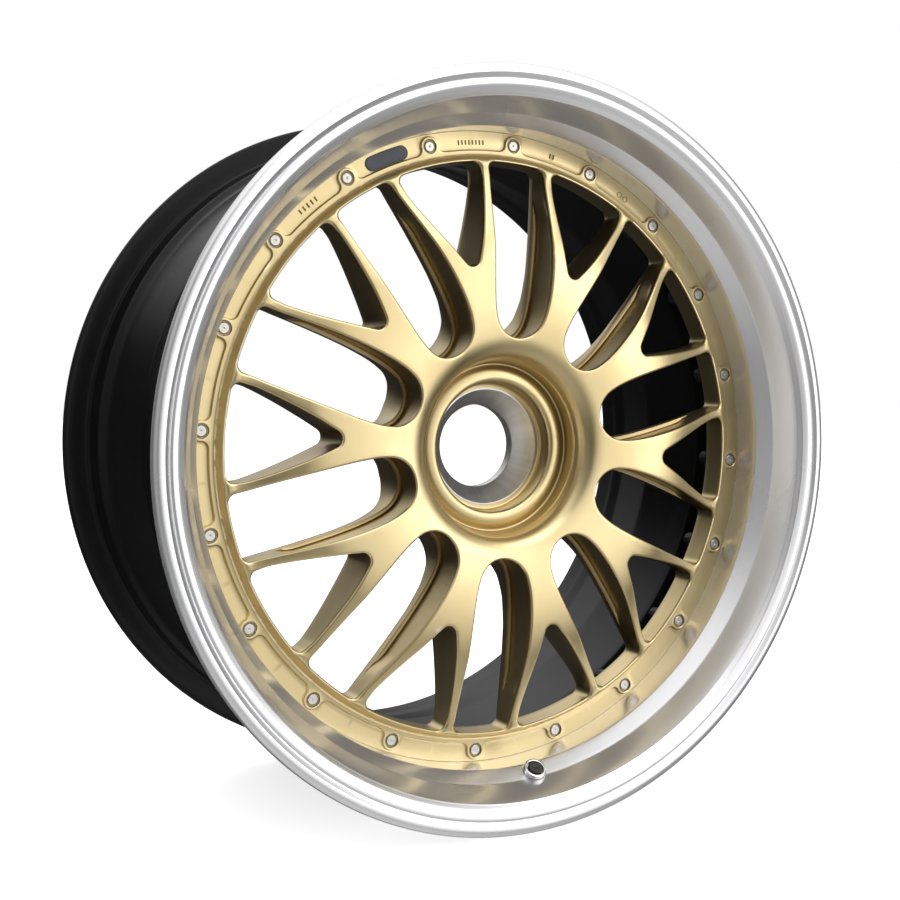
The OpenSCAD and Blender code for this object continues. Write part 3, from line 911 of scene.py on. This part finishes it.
def valve_cap():
    """Cap with a fine knurl on its side and a shallow dimple in its top."""
    shell = Shell()
    steps, knurl_depth = 120, 0.32
    low, top, bore_r, bore_top = 1.8, 4.6, 3.95, 3.6
    rows = []
    for r, z, knurled in ((bore_r, low, False), (4.5, low, False), (4.72, low + 0.2, False),
                          (4.78, low + 0.5, True), (4.78, 3.8, True), (4.7, 4.1, False), (4.4, 4.5, False),
                          (4.1, top, False), (1.2, top, False), (0.8, top - 0.2, False),
                          (0, top - 0.25, False)):
        ring = []
        for i in range(steps):
            cut = knurl_depth if knurled and i % 4 >= 2 else 0
            ring.append(VALVE @ Vector((*polar(r - cut, 2 * math.pi * i / steps), z)))
        rows.append(ring)
    shell.strip(rows, closed=True)
    shell.lathe([(bore_r, low), (bore_r, bore_top), (0, bore_top)], steps, VALVE)
    show(shell.build("valve_cap_knurled", CAP, sharp=50), "valve_cap", "black_plastic", "valve_cap")


def finish_cad_nodes():
    """Materials for the CAD nodes that are shown as they are."""
    finishes = {
        "rim_o_ring": RUBBER, "sealant_bead": SEALANT, "drive_bushes": BUSH, "valve_stem": CHROME,
        "valve_grommet": RUBBER, "valve_washer": CHROME, "valve_core_body": BRASS, "valve_core_gasket": WHITE,
        "valve_core_pin": BRASS, "valve_core_washer": RUBBER, "valve_core_spring": SPRING,
        "valve_cap_seal": RED}
    for name, finish in finishes.items():
        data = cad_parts[name].data
        data.materials.clear()
        data.materials.append(finish)


show(wheel_centre(GOLD), "wheel", "gold_paint", "wheel_centre")
outer_rim()
inner_rim()
nut_seat()
bolt_sets()
label_plate()
valve_nut()
valve_cap()
finish_cad_nodes()


# ---------------------------------------------------------------- generic marks on the ring

def bar(shell, a, r, along, up):
    """A small raised bar lying on a pocket's floor."""
    here = Matrix.Rotation(a, 4, "Z") @ Matrix.Translation((r, 0, POCKET_Z - 0.05))
    rows = []
    for grow, z in ((0, 0), (0, 0.16), (-0.12, 0.24)):
        w, h = along / 2 + grow, up / 2 + grow
        rows.append([here @ Vector((x, y, z)) for x, y in ((-h, -w), (h, -w), (h, w), (-h, w))])
    shell.strip(rows, closed=True)
    base = len(shell.verts)
    shell.verts += [tuple(p) for p in rows[-1]]
    shell.faces.append(tuple(base + i for i in range(4)))


def ring_marks():
    """Rows of plain ticks in three pockets: place in spoke pitches, count, gap in degrees and bar size."""
    shell = Shell()
    tick_rows = ((3.75, 5, 0.95, 1.2, 3.2), (2.75, 8, 0.75, 1.1, 3.0), (2.25, 2, 0.8, 1.2, 3.2))
    for pocket, count, gap, along, up in tick_rows:
        for k in range(count):
            a = FIRST_A + pocket * PITCH + math.radians(gap) * (k - (count - 1) / 2)
            bar(shell, a, BOLT_PITCH_R + 0.4, along, up)
    show(shell.build("ring_marks", MARK), "wheel", "gold_paint")


def ring_stamps():
    """Two small plain rings side by side in one pocket."""
    shell = Shell()
    ring = [(1.6, POCKET_Z - 0.05), (1.6, POCKET_Z + 0.15), (1.8, POCKET_Z + 0.22), (2.0, POCKET_Z + 0.15),
            (2.0, POCKET_Z - 0.05)]
    for side in (-0.5, 0.5):
        c = polar(BOLT_PITCH_R + 0.5, FIRST_A + 1.75 * PITCH + math.radians(1.6) * side)
        shell.lathe(ring, 32, Matrix.Translation((*c, 0)))
    show(shell.build("ring_stamps", MARK), "wheel", "gold_paint")


ring_marks()
ring_stamps()


# ---------------------------------------------------------------- stage

def studio_floor():
    """White floor at the rim's lowest point; it glows a little so that only a soft shadow is left."""
    bpy.ops.mesh.primitive_plane_add(size=16, location=(0, 0, -RIM_R / MM))
    floor = bpy.context.object
    floor.name = "floor"
    material, n, shader, place = start_material("floor_white")
    white = n.mix(n.noise(place, 3.0), rgb(0.9, 0.9, 0.9), rgb(0.92, 0.92, 0.92))
    n.tree.links.new(white, shader.inputs["Base Color"])
    shader.inputs["Roughness"].default_value = 0.8
    shader.inputs["Emission Color"].default_value = rgb(1, 1, 1)
    shader.inputs["Emission Strength"].default_value = 0.72
    floor.data.materials.append(material)
    floor.visible_glossy = False
    return floor


def glow(n, direction, towards, start, full, level):
    """Soft light from one side of the studio."""
    sides = {0: direction, 1: Vector(towards).normalized()}
    facing = n.new("ShaderNodeVectorMath", sides, operation="DOT_PRODUCT").outputs["Value"]
    amount = n.new("ShaderNodeMapRange", {0: facing, 1: start, 2: full, 3: 0.0, 4: level})
    amount.interpolation_type = "SMOOTHSTEP"
    return amount.outputs[0]


def studio_world():
    """Light by direction, and plain white behind everything that the camera sees."""
    world = bpy.data.worlds.new("studio")
    bpy.context.scene.world = world
    world.use_nodes = True
    n = Nodes(world.node_tree)
    world.node_tree.nodes.clear()
    ray = n.new("ShaderNodeLightPath").outputs["Is Camera Ray"]
    direction = n.new("ShaderNodeTexCoord").outputs["Generated"]
    level = n.math("ADD", glow(n, direction, (0, 0.1, 1), 0.3, 0.95, 1.1), 0.03)
    for towards, start, full, strength in (
            ((0.42, -0.88, 0.25), 0.66, 0.96, 1.25),
            ((-0.9, -0.2, 0.4), 0.5, 0.95, 0.25),
            ((0.1, 0.85, 0.5), 0.75, 1.0, 0.5),
            ((-0.1, -0.4, -1), 0.45, 0.95, 0.5)):
        level = n.math("ADD", level, glow(n, direction, towards, start, full, strength))
    grey = n.new("ShaderNodeCombineColor", {0: level, 1: level, 2: level}).outputs[0]
    lit = n.new("ShaderNodeBackground", {"Color": grey, "Strength": 1.0}).outputs[0]
    plain = n.new("ShaderNodeBackground", {"Color": rgb(1, 1, 1), "Strength": 1.0}).outputs[0]
    both = n.new("ShaderNodeMixShader", {0: ray, 1: lit, 2: plain}).outputs[0]
    n.new("ShaderNodeOutputWorld", {"Surface": both})


def softbox(name, at, size, power):
    """Rectangular lamp aimed at the wheel's centre."""
    data = bpy.data.lights.new(name, "AREA")
    data.shape, data.size, data.size_y, data.energy = "RECTANGLE", size[0], size[1], power
    lamp = bpy.data.objects.new(name, data)
    lamp.location = at
    lamp.rotation_euler = Vector(at).to_track_quat("Z", "Y").to_euler()
    lamp.visible_camera = False
    bpy.context.scene.collection.objects.link(lamp)


def place_camera():
    data = bpy.data.cameras.new("camera")
    camera = bpy.data.objects.new("camera", data)
    bpy.context.scene.collection.objects.link(camera)
    data.sensor_width, data.lens = 36.0, 52.4
    data.shift_y = -0.0556
    azimuth, elevation = math.radians(-28.06), math.radians(1.0)
    flat = math.cos(elevation)
    back = Vector((math.sin(azimuth) * flat, -math.cos(azimuth) * flat, math.sin(elevation)))
    camera.location = (-0.422, -0.798, 0.045)
    camera.rotation_euler = back.to_track_quat("Z", "Y").to_euler()
    bpy.context.scene.camera = camera
    bpy.context.scene.view_settings.view_transform = "Standard"


floor = studio_floor()
studio_world()
softbox("key_above", (0.5, -1.3, 2.0), (2.0, 1.2), 14)
softbox("front_right", (1.7, -2.0, 0.5), (0.9, 1.6), 9)
place_camera()
